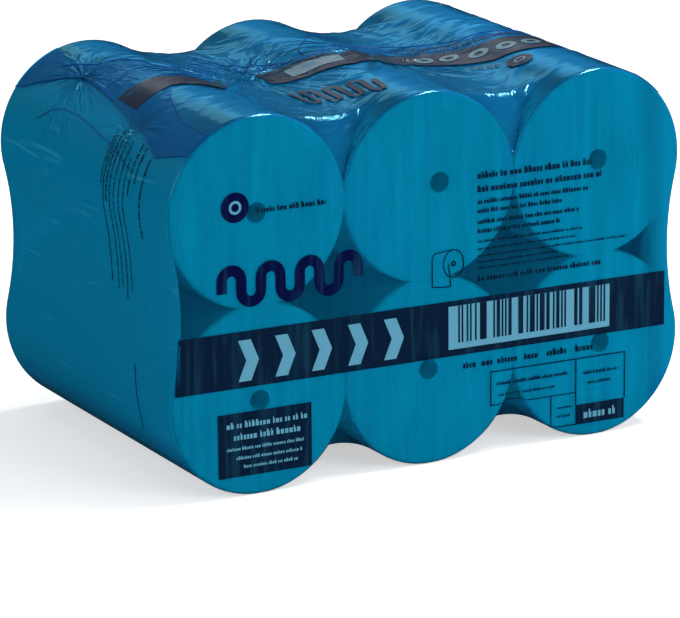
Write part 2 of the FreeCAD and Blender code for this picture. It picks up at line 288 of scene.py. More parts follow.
def outlineArcs(topDip, baseDip, endDip):
    # the arcs round the pack, clockwise seen from the front: centre, radius, first and last
    # angle, and +1 for a roll or -1 for a valley
    radius = rollRadius + film["clearance"]
    half = pitchX / 2
    rise = (highCentre - lowCentre) / 2
    middleZ = lowCentre + rise
    topValley, topHeight = bridge(half, radius, topDip)
    baseValley, baseHeight = bridge(half, radius, baseDip)
    endValley, endReach = bridge(rise, radius, endDip)
    topLean = math.degrees(math.asin(half / (radius + topValley)))
    baseLean = math.degrees(math.asin(half / (radius + baseValley)))
    endLean = math.degrees(math.asin(rise / (radius + endValley)))
    return (
        (-pitchX - endReach, middleZ, endValley, -endLean, endLean, -1),
        (-pitchX, highCentre, radius, 180 + endLean, 90 - topLean, 1),
        (-half, highCentre + topHeight, topValley, 270 - topLean, 270 + topLean, -1),
        (0.0, highCentre, radius, 90 + topLean, 90 - topLean, 1),
        (half, highCentre + topHeight, topValley, 270 - topLean, 270 + topLean, -1),
        (pitchX, highCentre, radius, 90 + topLean, -endLean, 1),
        (pitchX + endReach, middleZ, endValley, 180 - endLean, 180 + endLean, -1),
        (pitchX, lowCentre, radius, endLean, -90 - baseLean, 1),
        (half, lowCentre - baseHeight, baseValley, 90 - baseLean, 90 + baseLean, -1),
        (0.0, lowCentre, radius, -90 + baseLean, -90 - baseLean, 1),
        (-half, lowCentre - baseHeight, baseValley, 90 - baseLean, 90 + baseLean, -1),
        (-pitchX, lowCentre, radius, -90 + baseLean, -180 - endLean, 1),
    )


def outlinePoints(arcs, counts, inset):
    # points along the arcs, moved inwards by the inset
    across, up = [], []
    for (x, z, radius, first, last, kind), count in zip(arcs, counts):
        angle = np.radians(np.linspace(first, last, count, endpoint=False))
        across.append(x + (radius - kind * inset) * np.cos(angle))
        up.append(z + (radius - kind * inset) * np.sin(angle))
    return np.concatenate(across), np.concatenate(up)


def deepen(dip, notch, fromEnd):
    # the dip at a distance from the front or back: it runs down to the notch
    share = np.clip(1 - fromEnd / film["notchDepth"], 0, 1)
    eased = share - 0.5 * math.sin(math.pi * share) ** 2 * share * (1 - share)
    return dip + (notch - dip) * eased


def filmRows(values):
    # (depth, inset) of each ring of points, from the front to the back
    reach = halfDepth + values["clearance"]
    rim = values["rimRound"]
    end = []
    for turn in range(values["rimRows"]):
        angle = math.radians(90 - 90 * turn / values["rimRows"])
        end.append((reach - rim + rim * math.sin(angle), rim * (1 - math.cos(angle))))
    for turn in range(values["notchRows"]):
        end.append((reach - rim - values["notchDepth"] * turn / values["notchRows"], 0.0))
    inner = reach - rim - values["notchDepth"]
    count = round(2 * inner / values["rowSpacing"])
    middle = [(-inner + 2 * inner * turn / count, 0.0) for turn in range(count + 1)]
    front = [(-depth, inset) for depth, inset in end]
    return front + middle + list(reversed(end))


def makeFilm(values):
    level = outlineArcs(values["topDip"], values["baseDip"], values["endDip"])
    counts = []
    for x, z, radius, first, last, kind in level:
        length = radius * math.radians(abs(last - first))
        onTop = z > highCentre - 0.001
        counts.append(round(length / values["topSpacing" if onTop else "spacing"]))
    rows = filmRows(values)
    around = sum(counts)
    bpy.ops.object.select_all(action='DESELECT')
    bpy.ops.mesh.primitive_grid_add(x_subdivisions=around, y_subdivisions=len(rows) - 1, size=1.0)
    skin = bpy.context.object
    skin.name = "filmSkin"
    points = readPoints(skin.data).reshape(len(rows), around + 1, 3)
    reach = halfDepth + values["clearance"]
    for row, (depth, inset) in zip(points, rows):
        fromEnd = reach - values["rimRound"] - abs(depth)
        arcs = outlineArcs(deepen(values["topDip"], values["topNotch"], fromEnd),
                           deepen(values["baseDip"], values["baseNotch"], fromEnd),
                           deepen(values["endDip"], values["endNotch"], fromEnd))
        across, up = outlinePoints(arcs, counts, inset)
        row[:, 0] = np.append(across, across[0])
        row[:, 1] = depth
        row[:, 2] = np.maximum(np.append(up, up[0]), 0.0)
    writePoints(skin.data, points.reshape(-1, 3))
    setMode('EDIT')
    bpy.ops.mesh.select_all(action='SELECT')
    bpy.ops.mesh.remove_doubles(threshold=0.00001)
    bpy.ops.mesh.select_all(action='DESELECT')
    bpy.ops.mesh.select_mode(type='EDGE')
    bpy.ops.mesh.select_non_manifold()
    bpy.ops.mesh.fill_holes(sides=0)
    bpy.ops.mesh.select_all(action='SELECT')
    bpy.ops.mesh.normals_make_consistent(inside=False)
    bpy.ops.mesh.select_mode(type='FACE')
    bpy.ops.mesh.select_all(action='DESELECT')
    setMode('OBJECT')
    for inset in values["insets"]:
        sides = np.empty(len(skin.data.polygons), dtype=np.int32)
        skin.data.polygons.foreach_get("loop_total", sides)
        selectFaces(skin.data, sides > 100)
        setMode('EDIT')
        bpy.ops.mesh.inset(thickness=inset, depth=0.0)
        setMode('OBJECT')
    bpy.ops.object.shade_smooth()
    return skin


def selectFaces(mesh, chosen):
    mesh.vertices.foreach_set("select", np.zeros(len(mesh.vertices), dtype=bool))
    mesh.edges.foreach_set("select", np.zeros(len(mesh.edges), dtype=bool))
    mesh.polygons.foreach_set("select", chosen)


def pointNormals(mesh):
    flat = np.empty(len(mesh.vertices) * 3)
    mesh.vertex_normals.foreach_get("vector", flat)
    return flat.reshape(-1, 3)


filmSkin = makeFilm(film)
print("film", len(filmSkin.data.vertices), "points", len(filmSkin.data.polygons), "faces")

# Creases in the film: ridges that fan out from where it is gathered, in millimetres
creases = {
    "seed": 11,
    "fans": (
        # across, depth, first and last angle, how many, shortest and longest, height
        (-74, 14, 0, 360, 24, 22, 85, 2.0),
        (38, 4, 0, 360, 18, 18, 60, 1.8),
        (-73.5, -130, 10, 170, 12, 22, 80, 1.0),
        (73.5, -130, 10, 170, 12, 22, 80, 1.0),
        (-73.5, 134, 190, 350, 12, 20, 70, 0.9),
        (73.5, 134, 190, 350, 12, 20, 70, 0.9),
        (-186, 66, 0, 360, 14, 15, 55, 1.0),
        (-196, -90, 20, 200, 12, 18, 50, 0.9),
        (186, 40, 0, 360, 12, 15, 50, 0.9),
    ),
    # loose ones between the fans: how many, over what place, lean, length and height
    "acrossRolls": 60,
    "acrossPlace": ((-205, 190), (-128, 128)),
    "acrossLean": (-40, 40),
    "acrossLength": (20, 60),
    "acrossHeight": (0.35, 0.9),
    "width": (1.9, 3.6),
    "bend": 0.16,
    "fade": 0.35,
    # where the top begins, by how far a face looks up, and where creases stop short of the rims
    "topFrom": 0.25,
    "topBlend": 0.35,
    "lip": 0.012,
    # how crinkled the film is, between 0 and 1, and how wide the crinkled places are in metres
    "rimCalm": 0.004,
    "rimBlend": 0.06,
    "flatCrinkle": 0.45,
    "endCrinkle": 0.25,
    "notchCrinkle": 0.3,
    "notchWidth": 0.018,
    "notchReach": 0.03,
}


def smoothTaper(t, share):
    # 0 at both ends of a ridge, 1 over its middle
    ends = np.clip(np.minimum(t, 1 - t) / share, 0, 1)
    return ends * ends * (3 - 2 * ends)


def raiseRidge(flat, height, start, end, bend, width, rise):
    # adds one curved ridge to the heights of the points at these flat places
    along = end - start
    length = np.hypot(*along)
    along = along / length
    side = np.array([-along[1], along[0]])
    away = flat - start
    near = (np.abs(away[:, 0]) < length) & (np.abs(away[:, 1]) < length)
    picked = np.nonzero(near)[0]
    t = (away[picked] @ along) / length
    across = away[picked] @ side - bend * length * np.sin(np.clip(t, 0, 1) * math.pi)
    hill = np.exp(-(across / width) ** 2) * smoothTaper(np.clip(t, 0, 1), creases["fade"])
    height[picked] = np.maximum(height[picked], rise * hill)


def topRidges(values):
    # start, end, bend, width and height of each ridge on the top, in metres
    random = np.random.default_rng(values["seed"])
    found = []
    for x, y, first, last, count, shortest, longest, rise in values["fans"]:
        for turn in range(count):
            angle = math.radians(first + (last - first) * (turn + random.uniform(0.1, 0.9)) / count)
            reach = random.uniform(shortest, longest)
            way = np.array([math.cos(angle), math.sin(angle)])
            start = np.array([x, y]) + way * random.uniform(1, 9)
            found.append((start, start + way * reach, random.uniform(-1, 1), random.uniform(*values["width"]),
                          rise * random.uniform(0.5, 1.0)))
    for turn in range(values["acrossRolls"]):
        start = np.array([random.uniform(*span) for span in values["acrossPlace"]])
        angle = math.radians(random.uniform(*values["acrossLean"]))
        way = np.array([math.cos(angle), math.sin(angle)])
        found.append((start, start + way * random.uniform(*values["acrossLength"]), random.uniform(-1, 1),
                      random.uniform(*values["width"]), random.uniform(*values["acrossHeight"])))
    return found


def creaseFilm(piece, values):
    points = readPoints(piece.data)
    normals = pointNormals(piece.data)
    topShare = np.clip((normals[:, 2] - values["topFrom"]) / values["topBlend"], 0, 1)
    topShare = topShare * (points[:, 2] > highCentre)
    lip = np.clip((halfDepth - np.abs(points[:, 1])) / values["lip"], 0, 1)
    height = np.zeros(len(points))
    flat = points[:, :2] * 1000
    for start, end, bend, width, rise in topRidges(values):
        raiseRidge(flat, height, start, end, bend * values["bend"], width, rise)
    points += normals * (height * topShare * lip * 0.001)[:, None]
    writePoints(piece.data, points)
    # how crinkled the film is at each point, for its fine creases
    inner = np.clip((halfDepth - values["rimCalm"] - np.abs(points[:, 1])) / values["rimBlend"], 0, 1)
    raised = values["flatCrinkle"] + (1 - values["flatCrinkle"]) * height
    crinkle = np.clip(topShare * inner * raised, 0, 1)
    onEnds = np.clip((np.abs(normals[:, 0]) - 0.5) / 0.3, 0, 1)
    notch = np.exp(-(((np.abs(points[:, 0]) - pitchX / 2) / values["notchWidth"]) ** 2))
    notch = notch * (points[:, 2] > highCentre) * (points[:, 1] < -halfDepth + values["notchReach"])
    crinkle = np.maximum(crinkle, values["endCrinkle"] * onEnds)
    crinkle = np.maximum(crinkle, values["notchCrinkle"] * notch)
    return crinkle, onEnds, topShare


def setAttribute(mesh, name, numbers):
    layer = mesh.attributes.new(name, 'FLOAT', 'POINT')
    layer.data.foreach_set("value", numbers.astype(np.float32))


crinkle, onEnds, onTop = creaseFilm(filmSkin, creases)
for layerName, numbers in (("crinkle", crinkle), ("over", onTop), ("ends", onEnds)):
    setAttribute(filmSkin.data, layerName, numbers)
print("film creased")

# Blown polyethylene film, tinted blue: clear, glossy, and finely creased where it is gathered;
# milky over the pack's ends, where it is not drawn so thin
polyethylene = {
    "tint": (0.008, 0.675, 0.855, 1.0),
    # painted shade: a darker tint for the film over the top
    "topShadeTint": (0.006, 0.480, 0.755, 1.0),
    "bodyHex": "#0576b3",
    "bodyShare": 0.20,
    "gatheredHex": "#1088d2",
    "gatheredShare": 0.34,
    "foldHex": "#0a74c4",
    "foldShare": 0.38,
    "milkShare": 0.96,
    "milkHex": "#0287ad",
    # painted sheen: pale streaks on the ends, as light caught by creases
    "sheenStreakHex": "#3fb0d8",
    "footHex": "#06489c",
    "footRagged": 0.060,
    "footFrom": 0.035,
    "footTo": 0.075,
    "footShare": 0.75,
    # how deep the soft creases are: the skin's calmest and most crinkled places, and the folds
    "skinBump": (0.06, 0.24),
    "foldBump": 0.6,
    "doubleFrom": 0.186,
    "doubleTo": 0.210,
    "shineColour": (0.24, 0.80, 1.0, 1.0),
    "roughness": 0.13,
    "indexOfRefraction": 1.45,
    # size of the soft creases along and across them, over the top, the ends and the front
    "topStreak": (0.075, 0.0100, 0.0100),
    "topTurn": (0.0, 0.0, 0.5),
    "endStreak": (0.060, 0.075, 0.0110),
    "endTurn": (0.35, 0.0, 0.0),
    "frontStreak": (0.0075, 0.030, 0.090),
    "streakDepth": 0.0030,
    # knots the film is gathered at: place, reach and how strongly they pull, in metres
    "knots": (
        ((-0.074, 0.014, 0.272), 0.130, 1.0),
        ((0.038, 0.004, 0.285), 0.120, 1.0),
        ((-0.0735, -0.138, 0.250), 0.060, 0.8),
        ((0.0735, -0.138, 0.250), 0.055, 0.8),
        ((-0.186, 0.066, 0.280), 0.085, 0.6),
        ((-0.205, -0.055, 0.262), 0.055, 0.6),
    ),
    "knotFineness": 5.5,
    "knotDepth": 0.0055,
    # painted shade: how dark the streaks' low places are tinted
    "streakShade": 0.35,
}


def noiseStreaks(tree, place, size, turn):
    # soft uneven streaks of this size
    laid = addNode(tree, "Mapping", {
        "Vector": place, "Rotation": turn, "Scale": [1 / length for length in size]})
    return addNode(tree, "TexNoise", {"Vector": laid, "Scale": 1.0, "Detail": 2.0,
                                                "Roughness": 0.5, "Distortion": 0.5}).outputs["Fac"]


def knotStreaks(tree, place, knot, fineness):
    # streaks that fan out from a knot and fade with the distance from it
    centre, reach, pull = knot
    away = addNode(tree, "VectorMath", {0: place, 1: centre}, operation='SUBTRACT')
    far = addNode(tree, "VectorMath", {0: away}, operation='LENGTH').outputs["Value"]
    way = addNode(tree, "VectorMath", {0: away}, operation='NORMALIZE')
    ringed = addNode(tree, "Math", {0: far, 1: 1.5 / reach}, operation='MULTIPLY')
    spun = addNode(tree, "VectorMath", {0: way, 1: (fineness,) * 3}, operation='MULTIPLY')
    moved = addNode(tree, "VectorMath", {0: spun, 1: ringed}, operation='ADD')
    noise = addNode(tree, "TexNoise", {"Vector": moved, "Scale": 1.0, "Detail": 2.0, "Roughness": 0.55})
    fade = addNode(tree, "MapRange", {
        "Value": far, "From Min": reach * 0.25, "From Max": reach, "To Min": pull, "To Max": 0.0
    }, interpolation_type='SMOOTHSTEP')
    ridge = addNode(tree, "Math", {0: noise.outputs["Fac"], 1: 0.5}, operation='SUBTRACT')
    return addNode(tree, "Math", {0: ridge, 1: fade},
                   operation='MULTIPLY').outputs[0]


def filmCreases(tree, values):
    # (fanned streaks round 0, soft streaks round 0.5) over the whole film
    place = addNode(tree, "TexCoord").outputs["Object"]
    fanned = None
    for knot in values["knots"]:
        streaks = knotStreaks(tree, place, knot, values["knotFineness"])
        if fanned is None:
            fanned = streaks
        else:
            fanned = addNode(tree, "Math", {0: fanned, 1: streaks}, operation='ADD').outputs[0]
    facing = addNode(tree, "NewGeometry").outputs["Normal"]
    facing = addNode(tree, "VectorMath", {0: facing}, operation='ABSOLUTE')
    facing = addNode(tree, "SeparateXYZ", {0: facing})
    soft = noiseStreaks(tree, place, values["topStreak"], values["topTurn"])
    for side, size, turn in (("X", "endStreak", values["endTurn"]), ("Y", "frontStreak", (0, 0, 0))):
        share = addNode(tree, "MapRange", {
            "Value": facing.outputs[side], "From Min": 0.6, "From Max": 0.9})
        other = noiseStreaks(tree, place, values[size], turn)
        soft = addNode(tree, "Mix", {0: share, 2: soft, 3: other}).outputs[0]
    # the front is drawn flat: no fan reaches over it
    rest = addNode(tree, "Math", {0: 1.0, 1: share}, operation='SUBTRACT')
    fanned = addNode(tree, "Math", {0: fanned, 1: rest}, operation='MULTIPLY').outputs[0]
    return fanned, soft


def filmMaterial(values, name, onSkin):
    material, tree = newMaterial(name)
    fanned, soft = filmCreases(tree, values)
    amount = values["foldBump"]
    if onSkin:
        crinkled = addNode(tree, "Attribute", attribute_name="crinkle").outputs["Fac"]
        amount = addNode(tree, "MapRange", {
            "Value": crinkled, "To Min": values["skinBump"][0], "To Max": values["skinBump"][1]}).outputs[0]
    first = addNode(tree, "Bump", {"Strength": amount, "Distance": values["streakDepth"], "Height": soft})
    bent = addNode(tree, "Bump", {
        "Strength": 1.0, "Distance": values["knotDepth"], "Height": fanned, "Normal": first}).outputs[0]
    # painted shade: the tint is darkened in the streaks' low places
    deep = addNode(tree, "MapRange", {
        "Value": fanned, "From Min": -0.22, "From Max": 0.0, "To Min": values["streakShade"], "To Max": 1.0})
    uneven = addNode(tree, "MapRange", {
        "Value": soft, "From Min": 0.3, "From Max": 0.7, "To Min": 0.90, "To Max": 1.06})
    depth = addNode(tree, "Math", {0: deep, 1: uneven}, operation='MULTIPLY')
    tint = values["tint"][:3]
    if onSkin:
        # painted shade: the film is tinted darker over the top
        over = addNode(tree, "Attribute", attribute_name="over").outputs["Fac"]
        tint = addNode(tree, "Mix", {
            0: over, 6: values["tint"], 7: values["topShadeTint"]}, data_type='RGBA').outputs[2]
    tint = addNode(tree, "VectorMath", {0: tint, "Scale": depth}, operation='SCALE')
    clear = addNode(tree, "BsdfTransparent", {"Color": tint})
    bodyColour, share = hexColour(values["foldHex"]), values["foldShare"]
    if onSkin:
        gathered = addNode(tree, "MapRange", {
            "Value": crinkled, "From Min": 0.1, "From Max": 0.5}).outputs[0]
        bodyColour = addNode(tree, "Mix", {
            0: gathered, 6: hexColour(values["bodyHex"]), 7: hexColour(values["gatheredHex"])
        }, data_type='RGBA').outputs[2]
        share = addNode(tree, "MapRange", {
            "Value": gathered, "To Min": values["bodyShare"], "To Max": values["gatheredShare"]}).outputs[0]
        ends = addNode(tree, "Attribute", attribute_name="ends").outputs["Fac"]
        # the film lies double down the front's right edge, and hides the gap between the rolls there
        place = addNode(tree, "TexCoord").outputs["Object"]
        right = addNode(tree, "SeparateXYZ", {0: place}).outputs["X"]
        double = addNode(tree, "MapRange", {
            "Value": right, "From Min": values["doubleFrom"], "From Max": values["doubleTo"]})
        ends = addNode(tree, "Math", {0: ends, 1: double}, operation='MAXIMUM').outputs[0]
        milky = addNode(tree, "Math", {0: ends, 1: values["milkShare"]}, operation='MULTIPLY')
        # painted sheen: pale streaks over the ends stand in for light caught by their creases
        pale = addNode(tree, "MapRange", {"Value": soft, "From Min": 0.64, "From Max": 0.85})
        milkColour = addNode(tree, "Mix", {
            0: pale, 6: hexColour(values["milkHex"]), 7: hexColour(values["sheenStreakHex"])
        }, data_type='RGBA')
        # deeper blue towards the foot, with an uneven edge
        height = addNode(tree, "SeparateXYZ", {0: place}).outputs["Z"]
        ragged = addNode(tree, "Math", {0: soft, 1: values["footRagged"]}, operation='MULTIPLY')
        height = addNode(tree, "Math", {0: height, 1: ragged}, operation='ADD')
        foot = addNode(tree, "MapRange", {
            "Value": height, "From Min": values["footFrom"], "From Max": values["footTo"],
            "To Min": values["footShare"], "To Max": 0.0})
        milkColour = addNode(tree, "Mix", {
            0: foot, 6: milkColour.outputs[2], 7: hexColour(values["footHex"])}, data_type='RGBA')
        milk = addNode(tree, "BsdfDiffuse", {"Color": milkColour.outputs[2], "Normal": bent})
        clear = addNode(tree, "MixShader", {0: milky, 1: clear, 2: milk})
    body = addNode(tree, "BsdfPrincipled", {
        "Base Color": bodyColour, "Roughness": 0.5, "Specular IOR Level": 0.0, "Normal": bent})
    film = addNode(tree, "MixShader", {0: share, 1: clear, 2: body})
    shine = addNode(tree, "BsdfAnisotropic", {
        "Color": values["shineColour"], "Roughness": values["roughness"], "Normal": bent})
    bright = addNode(tree, "Fresnel", {"IOR": values["indexOfRefraction"], "Normal": bent})
    both = addNode(tree, "MixShader", {0: bright, 1: film, 2: shine})
    addNode(tree, "OutputMaterial", {"Surface": both})
    return material


skinMaterial = filmMaterial(polyethylene, "polyethyleneFilmBlue", True)
foldMaterial = filmMaterial(polyethylene, "polyethyleneFilmFolded", False)
filmSkin.data.materials.clear()
filmSkin.data.materials.append(skinMaterial)
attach(filmSkin, "root")
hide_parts("film_wrap")
print("film finished")


def blankGrid(name, columns, rows):
    # a flat grid of unit size, with its points as rows from low to high
    bpy.ops.object.select_all(action='DESELECT')
    bpy.ops.mesh.primitive_grid_add(x_subdivisions=columns, y_subdivisions=rows, size=1.0)
    piece = bpy.context.object
    piece.name = name
    points = readPoints(piece.data).reshape(rows + 1, columns + 1, 3)
    return piece, points


def layOnFilm(piece, lift):
    # the piece drops onto the film and follows it, a little above
    pickOnly(piece)
    follow = piece.modifiers.new("followFilm", 'SHRINKWRAP')
    follow.target = filmSkin
    follow.wrap_method = 'NEAREST_SURFACEPOINT'
    follow.wrap_mode = 'ABOVE_SURFACE'
    follow.offset = lift
    bpy.ops.object.modifier_apply(modifier="followFilm")


def dropOnFilm(piece, axis, towardsMore):
    # moves the piece along one axis until it meets the film
    pickOnly(piece)
    drop = piece.modifiers.new("dropOnFilm", 'SHRINKWRAP')
    drop.target = filmSkin
    drop.wrap_method = 'PROJECT'
    setattr(drop, "use_project_" + axis, True)
    drop.use_negative_direction = not towardsMore
    drop.use_positive_direction = towardsMore
    bpy.ops.object.modifier_apply(modifier="dropOnFilm")


def alongLine(line, share):
    # the point at this share of the way along a line of points
    line = np.array(line, dtype=float)
    steps = np.hypot(*np.diff(line, axis=0).T)
    reached = np.concatenate([[0.0], np.cumsum(steps)]) / steps.sum()
    return np.stack([np.interp(share, reached, line[:, i]) for i in range(2)], axis=-1)


# The folded film at the corners and the lap along the top, by their edges seen from above, in mm
folds = {
    "lift": 0.0006,
    "cell": 2.4,
    "dropFrom": 0.33,        # height above the pack, and place beside it, that pieces drop from
    "besideFrom": -0.25,
    "sheets": {
        "foldFrontLeft": (((-203, -146), (-210, -105), (-203, -76), (-195, -25), (-188, 30), (-185, 68)),
                          ((-186, -146), (-187, -105), (-178, -75), (-171, -55), (-146, -8), (-134, 22),
                           (-150, 68))),
        "foldBackLeft": (((-207, 146), (-206, 134), (-199, 112), (-192, 88), (-185, 66)),
                         ((-170, 146), (-174, 130), (-179, 104), (-184, 82), (-184, 68))),
        "foldFrontRight": (((203, -146), (209, -105), (203, -70), (196, -28), (190, 20)),
                           ((184, -146), (180, -105), (174, -70), (176, -30), (189, 20))),
        "foldBackRight": (((206, 146), (205, 128), (199, 104), (190, 72)),
                          ((172, 146), (176, 124), (182, 98), (189, 72))),
        "lapSeam": (((-184, 108), (-171, 74), (-149, 64), (-134, 24), (-104, 58), (-72, 104), (-66, 60),
                     (-45, 33), (-26, 12), (-8, 12), (20, 36), (54, 62), (72, 58), (97, 38), (118, 14),
                     (151, 4), (184, 14)),
                    ((-186, 60), (-170, 30), (-150, 22), (-134, -10), (-100, 14), (-72, 60), (-60, 18),
                     (-42, -4), (-22, -22), (-4, -24), (22, 2), (54, 24), (74, 20), (98, 2), (120, -24),
                     (151, -34), (184, -24))),
    },
}


def makeFold(name, outer, inner, values):
    length = np.hypot(*np.diff(np.array(outer, dtype=float), axis=0).T).sum()
    width = np.abs(alongLine(outer, np.array([0.0, 0.5])) - alongLine(inner, np.array([0.0, 0.5]))).max()
    rows, columns = max(6, round(length / values["cell"])), max(4, round(width / values["cell"]))
    piece, points = blankGrid(name, columns, rows)
    share = np.linspace(0, 1, rows + 1)
    first, last = alongLine(outer, share), alongLine(inner, share)
    for column, t in enumerate(np.linspace(0, 1, columns + 1)):
        points[:, column, :2] = (first * (1 - t) + last * t) * 0.001
    points[:, :, 2] = values["dropFrom"]
    writePoints(piece.data, points.reshape(-1, 3))
    dropOnFilm(piece, "z", False)
    layOnFilm(piece, values["lift"])
    if piece.data.polygons[0].normal.z < 0:
        setMode('EDIT')
        bpy.ops.mesh.select_all(action='SELECT')
        bpy.ops.mesh.flip_normals()
        setMode('OBJECT')
    bpy.ops.object.shade_smooth()
    piece.data.materials.append(foldMaterial)
    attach(piece, "root")


for foldName, (outerEdge, innerEdge) in folds["sheets"].items():
    makeFold(foldName, outerEdge, innerEdge, folds)
print("folds laid")

# Rolled edges of the folds and the lap: thin double hems, darker than the film
hems = {
    "radius": 0.00034,
    "hex": "#05458c",
    "step": 3.0,
    "lines": (
        folds["sheets"]["foldFrontLeft"][0],
        folds["sheets"]["foldBackLeft"][0],
        folds["sheets"]["foldFrontRight"][0],
        folds["sheets"]["foldBackRight"][0],
        folds["sheets"]["lapSeam"][0],
        ((-187, 27), (-171, 26), (-158, 34), (-150, 42)),
        ((-20, 14), (-16, 34), (0, 52), (24, 84), (54, 96)),
        ((-172, -58), (-178, -78), (-186, -104), (-187, -146)),
    ),
    "endLines": (
        ((89, 249), (73, 258), (57, 262), (31, 262), (1, 259), (-27, 255), (-52, 250), (-78, 244)),
        ((-92, 48), (-94, 62), (-90, 80), (-84, 96)),
    ),
}


def hemMaterial(values):
    material, tree = newMaterial("polyethyleneFilmHem")
    base = addNode(tree, "BsdfPrincipled", {
        "Base Color": hexColour(values["hex"]), "Roughness": 0.45, "IOR": 1.3, "Specular IOR Level": 0.2})
    addNode(tree, "OutputMaterial", {"Surface": base})
    return material


def hemLine(name, line, side, values):
    # a fine tube that follows a line on the film
    flat = np.array(line, dtype=float)
    count = max(4, round(np.hypot(*np.diff(flat, axis=0).T).sum() / values["step"]))
    spots = alongLine(line, np.linspace(0, 1, count)) * 0.001
    curve = bpy.data.curves.new(name, 'CURVE')
    curve.dimensions = '3D'
    spline = curve.splines.new('POLY')
    spline.points.add(count - 1)
    for point, (a, b) in zip(spline.points, spots):
        point.co = (a, b, folds["dropFrom"], 1) if side == "top" else (folds["besideFrom"], a, b, 1)
    piece = bpy.data.objects.new(name, curve)
    scene.collection.objects.link(piece)
    pickOnly(piece)
    bpy.ops.object.convert(target='MESH')
    dropOnFilm(piece, "z" if side == "top" else "x", side != "top")
    layOnFilm(piece, folds["lift"] + values["radius"] * 0.4)
    bpy.ops.object.convert(target='CURVE')
    piece.data.bevel_depth = values["radius"]
    piece.data.bevel_resolution = 1
    piece.data.use_fill_caps = True
    bpy.ops.object.convert(target='MESH')
    return piece


def joinPieces(name, pieces, material):
    bpy.ops.object.select_all(action='DESELECT')
    for piece in pieces:
        piece.select_set(True)
    bpy.context.view_layer.objects.active = pieces[0]
    if len(pieces) > 1:
        bpy.ops.object.join()
    joined = bpy.context.object
    joined.name = name
    joined.data.materials.clear()
    joined.data.materials.append(material)
    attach(joined, "root")
    return joined


hemPieces = [hemLine("hem", line, "top", hems) for line in hems["lines"]]
hemPieces += [hemLine("hem", line, "end", hems) for line in hems["endLines"]]
joinPieces("filmHems", hemPieces, hemMaterial(hems))
print("hems laid")

# The print: a generic layout in navy and pale blue ink, in mm across and up the pack's front.
# It names nothing: bars, chevrons, a wave, rings and rows of dashes.
printFront = {
    "lean": -0.013,          # the print climbs a little towards the left
    "lift": 0.00025,
    "paleLift": 0.00045,
    "barLift": 0.00065,
    "planeY": -0.1478,
    "seed": 5,
    # low and high corner of each plain field
    "fields": ((-218, 82.8, 209.5, 126.6), (-183, 13.8, -104, 63.8), (129, 12, 173, 28)),
    "fieldCell": 6.0,
    # low and high corner of each thin rule
    "rules": ((52, 65, 174, 66), (106, 12, 129, 13), (52, 38, 53, 65), (173, 28, 174, 65),
              (128.5, 28, 129.5, 65), (53, 38, 128, 38.8), (106, 13, 107, 38)),
    # left, right, foot, height and share left blank of each row of dashes
    "rows": ((41, 142, 219.8, 5.4, 0.10), (41, 151, 209.2, 5.4, 0.10),
             (41, 139, 200.0, 3.8, 0.12), (41, 116, 192.8, 3.8, 0.12),
             (41, 131, 184.2, 3.8, 0.12), (41, 114, 177.0, 3.8, 0.12),
             (41, 134, 169.6, 2.2, 0.15), (41, 128, 163.8, 2.1, 0.15), (41, 174, 158.4, 1.9, 0.15),
             (41, 112, 153.6, 1.9, 0.15), (41, 122, 148.8, 1.9, 0.15), (41, 153, 139.2, 4.6, 0.12),
             (-148, -90, 215.8, 4.6, 0.10), (28, 144, 71.5, 5.4, 0.45),
             (58, 122, 54, 3.0, 0.15), (60, 110, 45, 2.2, 0.2), (112, 125, 27, 2.2, 0.2),
             (112, 124, 20, 2.2, 0.2), (136, 168, 52, 2.8, 0.1), (140, 162, 44, 2.8, 0.1)),
    "paleRows": ((-176, -108, 52.0, 5.0, 0.12), (-170, -112, 42.6, 5.4, 0.08), (-176, -110, 34.6, 2.8, 0.15),
                 (-168, -112, 27.2, 2.8, 0.15), (-162, -116, 20.2, 2.8, 0.15),
                 (136, 167, 16.5, 7.0, 0.12)),
    "discs": ((-166, 222, 0.0, 11.6),),
    "paleDiscs": ((-166, 222, 3.2, 5.2),),
    # left, pitch, bars, middle height, straight part and thickness
    "wave": (-178, 16.4, 8, 161.5, 9.0, 8.6),
    "chevrons": (-160, -36, 103.8, 32.0, 8.5, 5),  # first, last, middle height, height, thickness, how many
    "window": (15, 88.2, 159, 122.4),
    "windowBars": (19, 93, 155, 122.4, 92),        # low and high corner and how many bars or gaps
    "rollSign": (12, 156, 26, 0.9),                # middle, width and line thickness of the drawn roll
}


def gridField(name, low, high, columns, rows):
    # a plain field of the print as a grid: its points run across and up in mm
    piece, points = blankGrid(name, columns, rows)
    points[:, :, 0] = np.linspace(low[0], high[0], columns + 1)[None, :]
    points[:, :, 1] = np.linspace(low[1], high[1], rows + 1)[:, None]
    points[:, :, 2] = 0
    writePoints(piece.data, points.reshape(-1, 3))
    return piece


def flatField(name, low, high, cell):
    columns = max(1, round((high[0] - low[0]) / cell))
    rows = max(1, round((high[1] - low[1]) / cell))
    return gridField(name, low, high, columns, rows)


def dropFaces(piece, chosen):
    selectFaces(piece.data, chosen)
    pickOnly(piece)
    setMode('EDIT')
    bpy.ops.mesh.select_mode(type='FACE')
    bpy.ops.mesh.delete(type='FACE')
    setMode('OBJECT')


def dashRow(left, right, foot, height, blank, random):
    # small marks in groups of uneven length, some taller, as small print looks from a step away
    columns = max(2, round((right - left) / max(0.45, height * 0.17)))
    piece = gridField("dashes", (left, foot), (right, foot + height), columns, 3)
    keep = np.zeros((3, columns), dtype=bool)
    at = 0
    while at < columns:
        for letter in range(int(random.integers(2, 8))):
            wide = int(random.integers(2, 4))
            keep[:2, at:at + wide] = True
            keep[2, at:at + wide - 1] = random.random() < 0.35
            at += wide + 1
        at += 2 if blank < 0.3 else int(random.integers(3, 9))
    dropFaces(piece, ~keep.ravel())
    return piece


